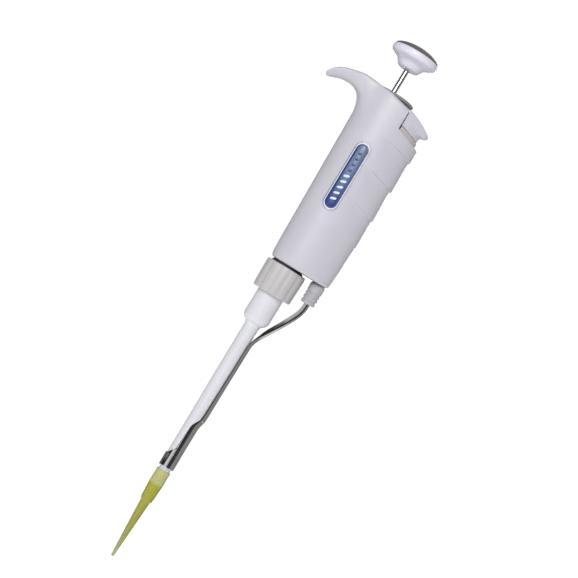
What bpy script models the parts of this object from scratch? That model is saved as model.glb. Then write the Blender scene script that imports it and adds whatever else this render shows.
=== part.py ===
"""Adjustable single-channel micropipette with a tip ejector and a disposable tip.

Frame: +Z runs up the plunger axis, -X is the finger hook's side, +X the tip ejector's side and -Y the
badge's side. The origin is the seat under the finger hook, where a stand's peg carries the pipette.
Heights in the tables below are in millimetres over the handle's bottom edge, and x is measured from the
plunger axis. The empty pipette_frame carries both to the part's own frame.
"""
import math

import bmesh
import bpy
from mathutils import Vector

MM = 0.001

# Driving dimensions, in millimetres.
HOOK_SEAT_X, HOOK_SEAT_Z = -22.7, 92.1      # the seat under the hook, which becomes the origin
GAP = 0.3                                   # clearance between neighbouring pieces
WALL = 1.8                                  # the handle's wall
HANDLE_WIDEST_X = 3.0                       # where the egg-shaped section is widest
HANDLE_SIDES = 16                           # cage points round the handle
GRIP_HEIGHTS = (27.5, 43.2, 60.1, 76.8)     # finger-grip creases, at the plunger axis
GRIP_DEPTHS = (0.45, 0.65, 0.45, 0.5)       # how far the panel over each crease stands proud
GRIP_SLOPE = -0.25                          # how fast a crease falls towards +X
ROD_R = 1.38                                # plunger rod
PISTON_R = 2.52                             # 20 mm2, so 200 microlitres is a 10 mm stroke
DIAL_R = 12.2
DIAL_Z = 96.2                               # underside of the dial
SCREW_R = 4.6
COUNTER_R = 9.2                             # number drums
DRUM_H = 5.0
DRUM_Z = 58.6                               # underside of the lowest drum
EJECT_X = 17.5                              # ejector rod
NOTCH_X, NOTCH_Z, NOTCH_SLOPE = 11.1, 83.6, -0.28   # the step that the ejector button sits in
WALL_X = 11.4                               # the wall that the button slides along
WELL_A, WELL_B = 20.2, 11.9                 # half axes of the well under the button
SLEEVE_R, SLEEVE_T = 3.82, 0.24             # ejector sleeve: mid radius and sheet thickness
TUBE_R = 3.85                               # slender part of the barrel
NOZZLE_END = -123.6
TIP_TOP, TIP_END = -116.7, -165.4

WHITE = (0.64, 0.62, 0.69)
COOL_GREY = (0.50, 0.54, 0.57)
WARM_GREY = (0.57, 0.55, 0.56)
DARK_GREY = (0.17, 0.16, 0.16)
STEEL = (0.62, 0.60, 0.58)


# ---------------------------------------------------------------- scene and helpers

def clear_scene():
    for obj in list(bpy.data.objects):
        bpy.data.objects.remove(obj, do_unlink=True)


def collection(name):
    made = bpy.data.collections.new(name)
    bpy.context.scene.collection.children.link(made)
    return made


def empty(name, at, parent=None):
    """An empty that carries what is parented to it; at is in millimetres."""
    obj = bpy.data.objects.new(name, None)
    obj.location = Vector(at) * MM
    obj.parent = parent
    parts.objects.link(obj)
    return obj


def material(name, colour, roughness=0.4, metallic=0.0, alpha=1.0):
    mat = bpy.data.materials.new(name)
    mat.use_nodes = True
    shader = mat.node_tree.nodes["Principled BSDF"]
    shader.inputs["Base Color"].default_value = (*colour, 1.0)
    shader.inputs["Roughness"].default_value = roughness
    shader.inputs["Metallic"].default_value = metallic
    shader.inputs["Alpha"].default_value = alpha
    mat.diffuse_color = (*colour, alpha)
    return mat


def place(name, mesh, mat, parent, at=(0, 0, 0)):
    """Link a finished mesh as a named part, at a place in millimetres under its parent."""
    mesh.materials.clear()
    mesh.materials.append(mat)
    mesh.shade_smooth()
    mesh.set_sharp_from_angle(angle=math.radians(35))
    obj = bpy.data.objects.new(name, mesh)
    obj.location = Vector(at) * MM
    obj.parent = parent
    parts.objects.link(obj)
    return obj


def screw(obj, steps):
    turn = obj.modifiers.new("turn", "SCREW")
    turn.steps = turn.render_steps = steps
    turn.use_merge_vertices = True
    turn.merge_threshold = 0.00001
    turn.use_smooth_shade = True
    return turn


def profile_mesh(name, outline):
    """A turned shape's half section from (radius, height) pairs. It runs down the outer side, and one
    that leaves the axis alone is closed into a ring."""
    mesh = bpy.data.meshes.new(name)
    points = [(r * MM, 0, z * MM) for r, z in outline]
    edges = [(i, i + 1) for i in range(len(points) - 1)]
    if outline[0][0] > 0:
        edges.append((len(points) - 1, 0))
    mesh.from_pydata(points, edges, [])
    return mesh


def turned(name, outline, mat, parent, at=(0, 0, 0), steps=32):
    obj = place(name, profile_mesh(name, outline), mat, parent, at)
    screw(obj, steps)
    return obj


def as_cutter(obj):
    """Move an object to the cutters and hide it from renders."""
    for owner in list(obj.users_collection):
        owner.objects.unlink(obj)
    cutters.objects.link(obj)
    obj.hide_render = True
    obj.display_type = "WIRE"
    return obj


def boolean(obj, tool, operation="DIFFERENCE", solver="EXACT"):
    mod = obj.modifiers.new(tool.name, "BOOLEAN")
    mod.operation = operation
    mod.solver = solver
    mod.object = tool


def cut_turned(obj, name, outline, at=(0, 0, 0), steps=32):
    """Cut a turned shape out of obj."""
    tool = as_cutter(turned(name, outline, tool_mat, obj.parent, at, steps))
    boolean(obj, tool)


def cylinder_outline(radius, bottom, top):
    return [(0, top), (radius, top), (radius, bottom), (0, bottom)]


def tube_outline(outer, inner, bottom, top):
    return [(outer, top), (outer, bottom), (inner, bottom), (inner, top)]


def mesh_of(name, points, faces):
    mesh = bpy.data.meshes.new(name)
    mesh.from_pydata([Vector(p) * MM for p in points], [], faces)
    return mesh


def loft(name, sections, closed=False):
    """Join rows of points into a solid: each section is a loop, and the ends are capped or joined."""
    count = len(sections[0])
    points = [p for section in sections for p in section]
    rows = len(sections)
    faces = []
    for row in range(rows if closed else rows - 1):
        low, high = row * count, (row + 1) % rows * count
        faces += [(low + i, low + (i + 1) % count, high + (i + 1) % count, high + i)
                  for i in range(count)]
    if not closed:
        faces.append(tuple(range(count - 1, -1, -1)))
        faces.append(tuple(range((rows - 1) * count, rows * count)))
    mesh = mesh_of(name, points, faces)
    face_outwards(mesh)
    return mesh


def face_outwards(mesh):
    """Make every face of a closed mesh look outwards."""
    work = bmesh.new()
    work.from_mesh(mesh)
    bmesh.ops.recalc_face_normals(work, faces=work.faces)
    if work.calc_volume(signed=True) < 0:
        bmesh.ops.reverse_faces(work, faces=work.faces)
    work.to_mesh(mesh)
    work.free()


def prism(name, outline, low, high, axis="Z"):
    """A flat outline drawn out between two planes: (x, y) points along Z, or (x, z) points along Y."""
    def at(point, level):
        return (point[0], point[1], level) if axis == "Z" else (point[0], level, point[1])
    return loft(name, [[at(p, low) for p in outline], [at(p, high) for p in outline]])


def block_cage(name, cells, point):
    """The skin of a set of unit cells as a quad cage; point(i, j, k) gives each corner's place."""
    sides = {
        (1, 0, 0): ((1, 0, 0), (1, 1, 0), (1, 1, 1), (1, 0, 1)),
        (-1, 0, 0): ((0, 0, 0), (0, 0, 1), (0, 1, 1), (0, 1, 0)),
        (0, 1, 0): ((0, 1, 0), (0, 1, 1), (1, 1, 1), (1, 1, 0)),
        (0, -1, 0): ((0, 0, 0), (1, 0, 0), (1, 0, 1), (0, 0, 1)),
        (0, 0, 1): ((0, 0, 1), (1, 0, 1), (1, 1, 1), (0, 1, 1)),
        (0, 0, -1): ((0, 0, 0), (0, 1, 0), (1, 1, 0), (1, 0, 0)),
    }
    used, faces = {}, []
    for cell in sorted(cells):
        for step, corners in sides.items():
            if tuple(c + s for c, s in zip(cell, step)) in cells:
                continue
            keys = [tuple(c + d for c, d in zip(cell, corner)) for corner in corners]
            faces.append([used.setdefault(key, len(used)) for key in keys])
    mesh = mesh_of(name, [point(*key) for key in used], faces)
    face_outwards(mesh)
    return mesh


def subdivide(obj, levels):
    mod = obj.modifiers.new("smooth", "SUBSURF")
    mod.levels = mod.render_levels = levels


def stadium(width, height, arc_points=8):
    """Outline of a slot with round ends, standing up: (x, z) points about its centre."""
    radius, straight = width / 2, (height - width) / 2
    ends = []
    for centre, start in ((straight, 0.0), (-straight, math.pi)):
        for n in range(arc_points + 1):
            turn = start + math.pi * n / arc_points
            ends.append((radius * math.cos(turn), centre + radius * math.sin(turn)))
    return ends


def mix(a, b, t):
    return a + (b - a) * t


def along(table, x):
    """Straight-line reading of a table of (x, value) pairs."""
    if x <= table[0][0]:
        return table[0][1]
    for (x0, v0), (x1, v1) in zip(table, table[1:]):
        if x <= x1:
            return mix(v0, v1, (x - x0) / (x1 - x0))
    return table[-1][1]


def spring(name, radius, wire, bottom, top, turns, mat, parent, at=(0, 0, 0), per_turn=10):
    """A helical spring as a wire on a polyline."""
    curve = bpy.data.curves.new(name, "CURVE")
    curve.dimensions = "3D"
    curve.bevel_depth = wire * MM
    curve.bevel_resolution = 2
    curve.use_fill_caps = True
    line = curve.splines.new("POLY")
    count = int(turns * per_turn) + 1
    line.points.add(count - 1)
    for n in range(count):
        turn = 2 * math.pi * n / per_turn
        height = mix(bottom + wire, top - wire, n / (count - 1))
        line.points[n].co = (radius * MM * math.cos(turn), radius * MM * math.sin(turn), height * MM, 1)
    curve.materials.append(mat)
    obj = bpy.data.objects.new(name, curve)
    obj.location = Vector(at) * MM
    obj.parent = parent
    parts.objects.link(obj)
    return obj


# ---------------------------------------------------------------- handle

TOP_LINE = ((-12.5, 98.4), (-7.1, 98.3), (-2.0, 97.5), (2.6, 96.4), (10.9, 94.6), (17.3, 92.6), (24.8, 89.5))
HALF_THICKNESS = ((0, 12.3), (40, 12.9), (75, 13.7), (98, 14.4))
# Finger hook stations: middle x, middle z, half height, half width and how far the section leans.
HOOK = ((-15.8, 95.0, 3.7, 10.6, 6), (-20.0, 95.1, 2.7, 9.4, -2), (-24.6, 94.7, 2.3, 8.6, 14),
        (-28.6, 93.1, 2.0, 7.8, 30), (-31.4, 91.1, 1.3, 6.4, 42), (-32.7, 89.8, 0.75, 4.6, 52))
BODY_LEVELS = [0.0, 1.3, 14.0]
for _height in GRIP_HEIGHTS[:3]:
    BODY_LEVELS += [_height - 0.7, _height + 0.7]
    if _height != GRIP_HEIGHTS[2]:
        BODY_LEVELS.append(_height + 8.4)
BODY_LEVELS += [68.4, GRIP_HEIGHTS[3] - 0.7, GRIP_HEIGHTS[3] + 0.7, 83.5, 91.0]
HOOK_LEVEL = len(BODY_LEVELS) - 2           # the hook grows out of the skin from this level up
EDGE_LEVEL, TOP_LEVEL = len(BODY_LEVELS), len(BODY_LEVELS) + 1
LIMIT = 6 / (4 + 2 * math.cos(2 * math.pi / HANDLE_SIDES))   # a smoothed ring shrinks by this much


def body_section(angle, z, inset=0.0):
    """A point of the egg-shaped section at height z: x and y from the axis."""
    left, right = 13.25 + 0.0235 * z, 19.85 + 0.0275 * z
    half = along(HALF_THICKNESS, z) - inset
    reach = (right if math.cos(angle) > 0 else left) - inset
    return reach * math.cos(angle), half * math.sin(angle)


def grip_inset(x, z):
    """How far the skin lies under the outer line, because each grip panel swells towards its foot."""
    fade = max(0.0, min(1.0, (x - 9.0) / 9.0))
    for height, depth in zip(reversed(GRIP_HEIGHTS), reversed(GRIP_DEPTHS)):
        if z > height:
            return fade * depth * min(1.0, (z - height - 0.7) / 15.0)
    return fade * 0.3


def body_point(i, j, k):
    """Cage corner of the handle's body, for columns 0 to 4 each way."""
    u, v = (i - 2) / 2, (j - 2) / 2
    ring = max(abs(u), abs(v))
    if ring == 0:
        angle = 0.0
    elif abs(u) >= abs(v):
        angle = math.pi / 4 * v / ring if u > 0 else math.pi - math.pi / 4 * v / ring
    else:
        angle = math.pi / 2 - math.pi / 4 * u / ring if v > 0 else -math.pi / 2 + math.pi / 4 * u / ring
    z = BODY_LEVELS[k] if k < EDGE_LEVEL else BODY_LEVELS[-1]
    x, y = body_section(angle, z, 0.9 if k in (0, TOP_LEVEL) else 0.0)
    x, y = HANDLE_WIDEST_X + x * ring * LIMIT, y * ring * LIMIT
    if k >= EDGE_LEVEL:
        return x, y, along(TOP_LINE, x) - (1.3 if k == EDGE_LEVEL else 0.0)
    inset = grip_inset(x, z) if 0 < k < HOOK_LEVEL else 0.0
    x -= inset * math.cos(angle)
    y -= inset * math.sin(angle)
    if 2 < k < HOOK_LEVEL:
        z += GRIP_SLOPE * max(0.0, x - 10.0)
    return x, y, z


def hook_point(i, j, k):
    """Cage corner of the finger hook, for columns -1 and below."""
    x, z, high, wide, lean = HOOK[-i - 1]
    v = (j - 2) / 2
    rise = (-1.0, -0.1, 0.72, 1.0)[k - HOOK_LEVEL]
    width = (0.58, 0.90, 1.0, 0.84)[k - HOOK_LEVEL]
    crown = 0.16 * (1 - v * v) if k == TOP_LEVEL else 0.0
    belly = 0.10 * (1 - v * v) if k == HOOK_LEVEL else 0.0
    across = math.radians(lean)
    rise = (rise + crown - belly) * high * 1.08
    return x - rise * math.sin(across), 1.05 * wide * width * v, z + rise * math.cos(across)


def handle_cage():
    cells = {(i, j, k) for i in range(4) for j in range(4) for k in range(TOP_LEVEL)}
    cells |= {(i, j, k) for i in range(-len(HOOK), 0) for j in range(4) for k in range(HOOK_LEVEL, TOP_LEVEL)}
    return block_cage("handle_shell", cells,
                      lambda i, j, k: body_point(i, j, k) if i >= 0 else hook_point(i, j, k))


def section_outline(z, inset, points=32):
    """The handle's section at a height, moved in by the wall."""
    turns = [2 * math.pi * n / points for n in range(points)]
    return [(HANDLE_WIDEST_X + x, y) for x, y in (body_section(t, z, inset) for t in turns)]


def well_outline(shrink, left):
    """The ejector button's plan: flat on the left and an ellipse's arc on the right."""
    a, b = WELL_A - shrink, WELL_B - shrink
    limit = math.acos((left - HANDLE_WIDEST_X) / a)
    turns = [mix(-limit, limit, n / 14) for n in range(15)]
    return [(HANDLE_WIDEST_X + a * math.cos(t), b * math.sin(t)) for t in turns]


def notch_mesh():
    """What is cut away for the ejector button. The wall behind it stands a little proud in the middle."""
    plan = ((WALL_X, -7), (WALL_X, 7), (NOTCH_X, 7), (NOTCH_X, 20), (32, 20), (32, -20), (NOTCH_X, -20),
            (NOTCH_X, -7))
    floor = [(x, y, NOTCH_Z + NOTCH_SLOPE * (x - NOTCH_X)) for x, y in plan]
    return loft("cut_notch", [floor, [(x, y, 110.0) for x, y in plan]])


def make_handle(parent):
    shell = place("handle_shell", handle_cage(), white, parent)
    subdivide(shell, 1)
    hollow = [[(x, y, z) for x, y in section_outline(z, WALL)] for z in (-2.0, 36.0, 68.0)]
    for name, mesh in (
        ("cut_hollow", loft("cut_hollow", hollow)),
        ("cut_notch", notch_mesh()),
        ("cut_well", prism("cut_well", well_outline(0, WALL_X), 67.0, 90.0)),
    ):
        boolean(shell, as_cutter(place(name, mesh, tool_mat, parent)))
    cut_turned(shell, "cut_works", cylinder_outline(9.5, 66.0, 92.7), steps=40)
    cut_turned(shell, "cut_dial_bore", cylinder_outline(7.0, 91.0, 105.0))
    cut_turned(shell, "cut_dial_pocket", cylinder_outline(DIAL_R + 0.35, 95.95, 105.0), steps=48)
    window = prism("cut_window", [(x, z + 65.9) for x, z in stadium(7.0, 20.0)], 5.0, 20.0, "Y")
    boolean(shell, as_cutter(place("cut_window", window, tool_mat, parent)))
    badge = prism("cut_badge", [(x + 1.7, z + 51.2) for x, z in stadium(7.6, 36.2)], -20.0, -12.15, "Y")
    boolean(shell, as_cutter(place("cut_badge", badge, tool_mat, parent)))


def make_base(parent):
    """The bulkhead that closes the handle, with the threaded neck that the coupling nut grips."""
    sections = [[(x, y, z) for x, y in section_outline(z, WALL + GAP)] for z in (0.6, 3.0)]
    base = place("handle_base", loft("handle_base", sections), dark, parent)
    neck = [(8.0, 1.5), (8.0, -0.35), (8.6, -0.35), (8.6, -2.2)]
    neck += screw_thread(8.6, 0.4, -10.5, -3.0, 2.4) + [(8.2, -10.5), (0, -10.5)]
    boolean(base, as_cutter(turned("join_neck", [(0, 1.5)] + neck, tool_mat, parent, steps=28)), "UNION")
    cut_turned(base, "cut_neck_bore", cylinder_outline(5.9, -12.0, 5.0), steps=28)
    cut_turned(base, "cut_rod_hole", cylinder_outline(2.4, -2.0, 5.0), at=(EJECT_X, 0, 0), steps=20)


def make_badge(parent):
    """Raised rim and plate let into the -Y face, without any lettering."""
    rim = [[(x + 1.7, y, z + 51.2) for x, z in stadium(w, h)]
           for w, h, y in ((7.0, 35.6, -12.4), (7.0, 35.6, -13.75), (5.9, 34.5, -13.75), (5.9, 34.5, -12.4))]
    place("badge_rim", loft("badge_rim", rim, closed=True), steel, parent)
    plate = prism("badge_plate", [(x + 1.7, z + 51.2) for x, z in stadium(5.3, 33.9)], -13.55, -12.4, "Y")
    place("badge_plate", plate, blue, parent)


def make_window(parent):
    lens = prism("window_lens", [(x, z + 65.9) for x, z in stadium(6.4, 19.4)], 12.0, 13.2, "Y")
    place("window_lens", lens, clear, parent)


# ---------------------------------------------------------------- volume setting

def make_dial(parent):
    """Knurled dial on a hub that turns in the handle's top."""
    knurls = 30
    rows = []
    for radius, z, grooved in ((2.0, 97.7, 0), (11.6, 97.7, 0), (DIAL_R, 97.4, 1), (DIAL_R, 96.6, 1),
                               (11.8, DIAL_Z, 0), (6.6, DIAL_Z, 0), (6.6, 91.4, 0), (5.4, 91.4, 0),
                               (5.4, 95.0, 0), (2.0, 95.0, 0)):
        row = []
        for n in range(2 * knurls):
            turn = math.pi * n / knurls
            r = radius - (0.35 if grooved and n % 2 else 0.0)
            row.append((r * math.cos(turn), r * math.sin(turn), z))
        rows.append(row)
    place("volume_dial", loft("volume_dial", rows, closed=True), grey, parent)
    turned("dial_clip", tube_outline(8.2, 6.9, 91.6, 92.4), steel, parent, steps=24)
    turned("drive_sleeve", tube_outline(6.4, 5.3, DRUM_Z - 1.2, 91.1), brass, parent, steps=24)
    turned("units_drum", tube_outline(COUNTER_R, 6.8, DRUM_Z, DRUM_Z + DRUM_H - GAP), number, parent, steps=32)


def make_counter_drum(name, row, parent):
    low = DRUM_Z + row * DRUM_H
    turned(name, tube_outline(COUNTER_R, 6.8, low, low + DRUM_H - GAP), number, parent, steps=32)


def screw_thread(radius, depth, bottom, top, pitch):
    """Rings that stand for a thread, from the top down."""
    rings, z = [], top
    while z - pitch > bottom:
        rings += [(radius, z), (radius, z - pitch * 0.4), (radius - depth, z - pitch * 0.6),
                  (radius - depth, z - pitch * 0.9)]
        z -= pitch
    return rings


def make_volume_screw(parent):
    outline = [(4.0, 86.5), (4.0, 67.5)] + screw_thread(SCREW_R, 0.5, 48.0, 67.0, 3.1)
    outline += [(4.0, 47.0), (1.8, 47.0), (1.8, 86.5)]
    turned("volume_screw", outline, brass, parent, steps=20)


def make_volume_fixed(parent):
    turned("volume_nut", tube_outline(9.2, SCREW_R + GAP, 51.0, 56.9), brass, parent, steps=24)
    turned("counter_frame", tube_outline(9.0, 7.6, 42.0, 50.7), dark, parent, steps=28)
    cup = [(8.6, 41.7), (8.6, 24.0), (2.4, 24.0), (2.4, 25.5), (7.6, 25.5), (7.6, 41.7)]
    turned("stop_housing", cup, dark, parent, steps=28)
    spring("blowout_spring", 5.2, 0.6, 25.8, 38.5, 4, steel, parent)


# ---------------------------------------------------------------- plunger

def make_plunger(parent):
    knob = [(0, 120.2), (9.0, 120.2), (9.0, 120.6), (11.6, 120.6), (12.1, 120.1), (12.3, 119.2), (12.25, 118.0),
            (11.95, 117.1), (11.3, 116.4), (10.0, 115.7), (8.2, 115.0), (6.9, 114.2), (6.1, 113.4), (5.5, 112.6),
            (5.1, 112.0), (4.7, 111.8), (1.7, 111.8), (1.7, 117.3), (0, 117.3)]
    turned("knob", knob, white, parent, steps=32)
    cap = [(0, 124.0), (4.0, 124.0), (6.7, 123.5), (9.2, 122.7), (10.8, 121.9), (11.6, 121.3), (11.8, 120.9),
           (8.7, 120.9), (8.7, 120.5), (0, 120.5)]
    turned("knob_cap", cap, grey, parent, steps=32)
    turned("plunger_rod", cylinder_outline(ROD_R, -1.2, 117.0), chrome, parent, steps=20)
    turned("plunger_collar", tube_outline(4.2, ROD_R + 0.2, 43.0, 46.7), brass, parent, steps=24)
    head = [(0, -1.5), (4.7, -1.5), (4.7, -3.0), (3.0, -3.4), (3.0, -6.0), (0, -6.0)]
    turned("piston_head", head, white, parent, steps=24)
    turned("piston", cylinder_outline(PISTON_R, -62.0, -6.3), chrome, parent, steps=24)


def make_stop_washer(parent):
    turned("stop_washer", tube_outline(7.2, 1.8, 38.8, 40.4), steel, parent, steps=28)


# ---------------------------------------------------------------- lower part

def make_nut(parent):
    """Coupling nut with shallow wide flutes on its outside."""
    flutes, sides = 12, 48
    rows = []
    for radius, z, depth in ((8.95, -1.1, 0), (10.2, -1.1, 0), (10.6, -1.5, 0.22), (10.25, -15.6, 0.22),
                             (9.9, -16.2, 0), (7.25, -16.2, 0), (7.25, -13.1, 0), (8.95, -13.1, 0)):
        row = []
        for n in range(sides):
            turn = 2 * math.pi * n / sides
            r = radius - depth * (1 - math.cos(flutes * turn))
            row.append((r * math.cos(turn), r * math.sin(turn), z))
        rows.append(row)
    place("coupling_nut", loft("coupling_nut", rows, closed=True), warm, parent)


def make_barrel(parent):
    barrel = [(5.5, -7.5), (5.5, -10.8), (8.4, -10.8), (8.4, -12.7), (6.95, -12.8), (6.95, -29.6), (6.6, -30.6),
              (5.0, -32.2), (4.2, -32.9), (TUBE_R, -34.0), (TUBE_R - 0.05, -60.0), (TUBE_R - 0.3, -90.0),
              (TUBE_R - 0.35, -112.6), (3.3, -113.2), (2.2, -113.2),
              (2.2, -78.0), (2.9, -76.0), (2.9, -37.0), (5.2, -36.0 + 5.6), (5.0, -7.5)]
    turned("barrel", barrel, pale, parent, steps=28)
    nozzle = [(3.0, -113.5), (3.0, -116.2), (2.9, -117.0), (2.45, NOZZLE_END), (1.0, NOZZLE_END), (1.0, -113.5)]
    turned("nozzle", nozzle, pale, parent, steps=24)
    spring("piston_spring", 4.0, 0.45, -27.2, -3.8, 6, steel, parent)
    turned("seal_retainer", [(4.6, -27.5), (4.6, -28.7), (2.75, -28.7), (2.75, -27.5)], steel, parent, steps=24)
    turned("piston_seal", [(4.6, -29.0), (4.6, -30.0), (3.2, -31.6), (2.7, -31.6), (2.7, -29.0)], white, parent,
           steps=24)


def make_o_ring(parent):
    """Gasket between the neck and the barrel's spigot, as a torus."""
    bpy.ops.mesh.primitive_torus_add(major_radius=5.7 * MM, minor_radius=0.16 * MM, major_segments=20,
                                     minor_segments=6)
    made = bpy.context.object
    mesh = made.data
    bpy.data.objects.remove(made)
    place("barrel_o_ring", mesh, rubber, parent, at=(0, 0, -9.0))


# ---------------------------------------------------------------- ejector

BUTTON_TOP = ((11.5, 95.1), (17.3, 93.4), (22.1, 91.4), (24.6, 89.9), (27.0, 88.3))
BUTTON_COLUMNS = (0.0, 0.08, 0.5, 1.0)      # cage columns from the flat side to the round end
LIP_REACH = (0.0, 0.0, 0.2, 3.6, 4.6, 3.9)  # how far each level swells out into the thumb lip
LIP_LEVELS = (86.9, 86.3)                   # the lip's underside, at its root and its edge
SIDE_LEVELS = (0.4, 0.65)                   # the same two levels at the sides, as parts of the height
FOOT_SLOPE = 0.28


def button_plan(t, v):
    """Plan place in the button, t from the flat side to the round end and v across."""
    a, b = WELL_A - 0.3, WELL_B - 0.3
    left = 11.5
    half = b * math.sqrt(1 - ((left - HANDLE_WIDEST_X) / a) ** 2)
    angle = math.radians(48) * v
    return (mix(left, HANDLE_WIDEST_X + a * math.cos(angle), t), mix(half * v, b * math.sin(angle), t))


def button_point(i, j, k):
    v = (j - 2) / 2
    x, y = button_plan(BUTTON_COLUMNS[i], v)
    lip = max(0.0, 1 - (v / 0.8) ** 2) if i == 3 else 0.0
    x += LIP_REACH[k] * lip
    foot = 86.1 - FOOT_SLOPE * (x - 11.7)
    top = along(BUTTON_TOP, x) + 0.25 * (1 - v * v)
    if k in (2, 3):
        z = mix(mix(foot, top, SIDE_LEVELS[k - 2]), LIP_LEVELS[k - 2], lip)
    else:
        z = {0: foot, 1: foot + 0.5, 4: top - 0.8, 5: top}[k]
    if k == 5:
        y *= 0.94
    return x, y, z


def make_ejector_top(parent):
    cells = {(i, j, k) for i in range(3) for j in range(4) for k in range(5)}
    button = place("ejector_button", block_cage("ejector_button", cells, button_point), white, parent)
    subdivide(button, 1)
    plan = well_outline(0.45, 11.9)
    foot = [[(x, y, 86.0 - FOOT_SLOPE * (x - 11.7)) for x, y in plan], [(x, y, 75.0) for x, y in plan]]
    slider = place("ejector_slider", loft("ejector_slider", foot), beige, parent)
    cut_turned(slider, "cut_slider_bore", cylinder_outline(1.9, 70.0, 79.3), at=(EJECT_X, 0, 0), steps=16)
    turned("ejector_rod", cylinder_outline(1.6, 0.5, 79.0), steel, parent, at=(EJECT_X, 0, 0), steps=16)
    turned("ejector_clip", tube_outline(3.3, 1.8, 61.0, 62.2), steel, parent, at=(EJECT_X, 0, 0), steps=16)


def make_ejector_fixed(parent):
    turned("ejector_guide", tube_outline(3.2, 1.9, 40.0, 44.0), dark, parent, at=(EJECT_X, 0, 0), steps=16)
    spring("ejector_spring", 2.7, 0.4, 44.3, 60.7, 5, steel, parent, at=(EJECT_X, 0, 0))


def make_boot(parent):
    """Grey ribbed connector between the ejector rod and the steel arm."""
    outline = [(0, 0.4), (3.3, 0.4), (3.4, -0.2), (3.9, -0.9), (3.85, -4.6), (3.45, -4.9), (3.45, -5.2), (3.8, -5.6),
               (3.75, -6.3), (3.4, -6.7), (3.4, -7.0), (3.75, -7.5), (3.7, -8.4), (3.3, -8.9), (3.3, -9.3),
               (3.65, -9.7), (3.6, -10.8), (3.3, -11.2), (2.75, -11.2), (2.75, -8.9), (0, -8.9)]
    turned("ejector_boot", outline, cool, parent, at=(EJECT_X, 0, 0), steps=22)


# The steel arm's stations: x and z of the sheet's outer face, the bend's mid radius and half angle, and
# how far the channel's flat sides reach on past the bend.
ARM = ((19.15, -9.3, 1.5, 90, 1.45), (19.15, -11.0, 1.5, 90, 1.45), (18.95, -14.4, 1.5, 90, 1.45),
       (18.1, -18.0, 1.5, 90, 1.45), (16.0, -22.6, 1.5, 90, 1.45), (13.1, -28.0, 1.6, 88, 1.3),
       (9.75, -33.6, 1.8, 84, 1.0), (7.0, -38.4, 2.3, 70, 0.3), (5.6, -42.0, 2.8, 64, 0.1),
       (5.3, -46.0, 2.9, 67, 0.1), (5.15, -68.0, 2.9, 70, 0.1), (5.1, -84.5, 3.1, 73, 0.1),
       (4.7, -87.4, 3.4, 71, 0.1), (4.1, -90.0, 3.76, 80, 0.1), (3.94, -92.4, SLEEVE_R, 88, 0.1),
       (3.94, -103.4, SLEEVE_R, 96, 0.1), (3.94, -105.6, SLEEVE_R, 116, 0.1),
       (3.94, -107.2, SLEEVE_R, 138, 0.1), (3.94, -108.4, SLEEVE_R, 150, 0.1))
SLEEVE_STATIONS = 5                         # the last stations, which are level and round the tube


def arm_section(n, points=15):
    """A bent strip of sheet across the arm at one station, bowed towards +X."""
    x, z, radius, half_angle, flat = ARM[n]
    before, after = ARM[max(n - 1, 0)], ARM[min(n + 1, len(ARM) - 1)]
    down = Vector((after[0] - before[0], 0, after[1] - before[1])).normalized()
    if n >= len(ARM) - SLEEVE_STATIONS or n == 0:
        down = Vector((0, 0, -1))
    out = Vector((-down.z, 0, down.x))
    centre = Vector((x, 0, z)) - out * (radius + SLEEVE_T / 2)

    def at(r, degrees, reach=0.0):
        turn = math.radians(degrees)
        tangent = -out * math.sin(abs(turn)) + Vector((0, math.copysign(math.cos(turn), turn), 0))
        return centre + out * (r * math.cos(turn)) + Vector((0, r * math.sin(turn), 0)) + tangent * reach

    loop = []
    for r, order in ((radius + SLEEVE_T / 2, 1), (radius - SLEEVE_T / 2, -1)):
        side = [at(r, -half_angle, flat)]
        side += [at(r, mix(-half_angle, half_angle, m / (points - 1))) for m in range(points)]
        side.append(at(r, half_angle, flat))
        loop += side[::order]
    return loop


def make_arm(parent):
    mesh = loft("ejector_arm", [arm_section(n) for n in range(len(ARM))])
    arm = place("ejector_arm", mesh, chrome, parent)
    ring = turned("join_sleeve", tube_outline(SLEEVE_R + 0.2, SLEEVE_R - 0.2, -114.9, -107.7), tool_mat,
                  parent, steps=36)
    boolean(arm, as_cutter(ring), "UNION", "MANIFOLD")


# ---------------------------------------------------------------- tip

def make_tip(parent):
    outline = [(3.75, TIP_TOP), (3.62, -118.6), (3.42, -124.0), (3.1, -132.4), (3.0, -133.6), (2.45, -134.2),
               (2.2, -139.0), (1.35, -154.0), (0.72, TIP_END + 0.3), (0.62, TIP_END), (0.32, TIP_END),
               (0.85, -154.0), (1.7, -139.0), (2.0, -133.0), (2.66, NOZZLE_END), (3.12, -117.5), (3.3, TIP_TOP)]
    turned("tip", outline, tip_green, parent, steps=24)


# ---------------------------------------------------------------- assembly

clear_scene()
parts = collection("micropipette")
cutters = collection("cutters")

white = material("moulded_white", WHITE, 0.38)
pale = material("pale_polymer", (0.78, 0.78, 0.84), 0.35)
grey = material("cap_grey", DARK_GREY, 0.35)
warm = material("nut_grey", WARM_GREY, 0.45)
cool = material("boot_grey", COOL_GREY, 0.5)
dark = material("inner_grey", (0.10, 0.10, 0.11), 0.5)
beige = material("slider_beige", (0.50, 0.46, 0.45), 0.45)
steel = material("brushed_steel", STEEL, 0.3, 1.0)
chrome = material("polished_steel", (0.72, 0.71, 0.70), 0.12, 1.0)
brass = material("brass", (0.72, 0.55, 0.28), 0.3, 1.0)
number = material("number_white", (0.85, 0.85, 0.82), 0.4)
rubber = material("rubber", (0.03, 0.03, 0.03), 0.7)
blue = material("badge_blue", (0.03, 0.08, 0.35), 0.25)
clear = material("clear_lens", (0.9, 0.93, 0.95), 0.05, 0.0, 0.35)
tip_green = material("tip_polypropylene", (0.55, 0.58, 0.12), 0.3, 0.0, 0.7)
tool_mat = material("cutter", (0.5, 0.5, 0.5))

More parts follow.
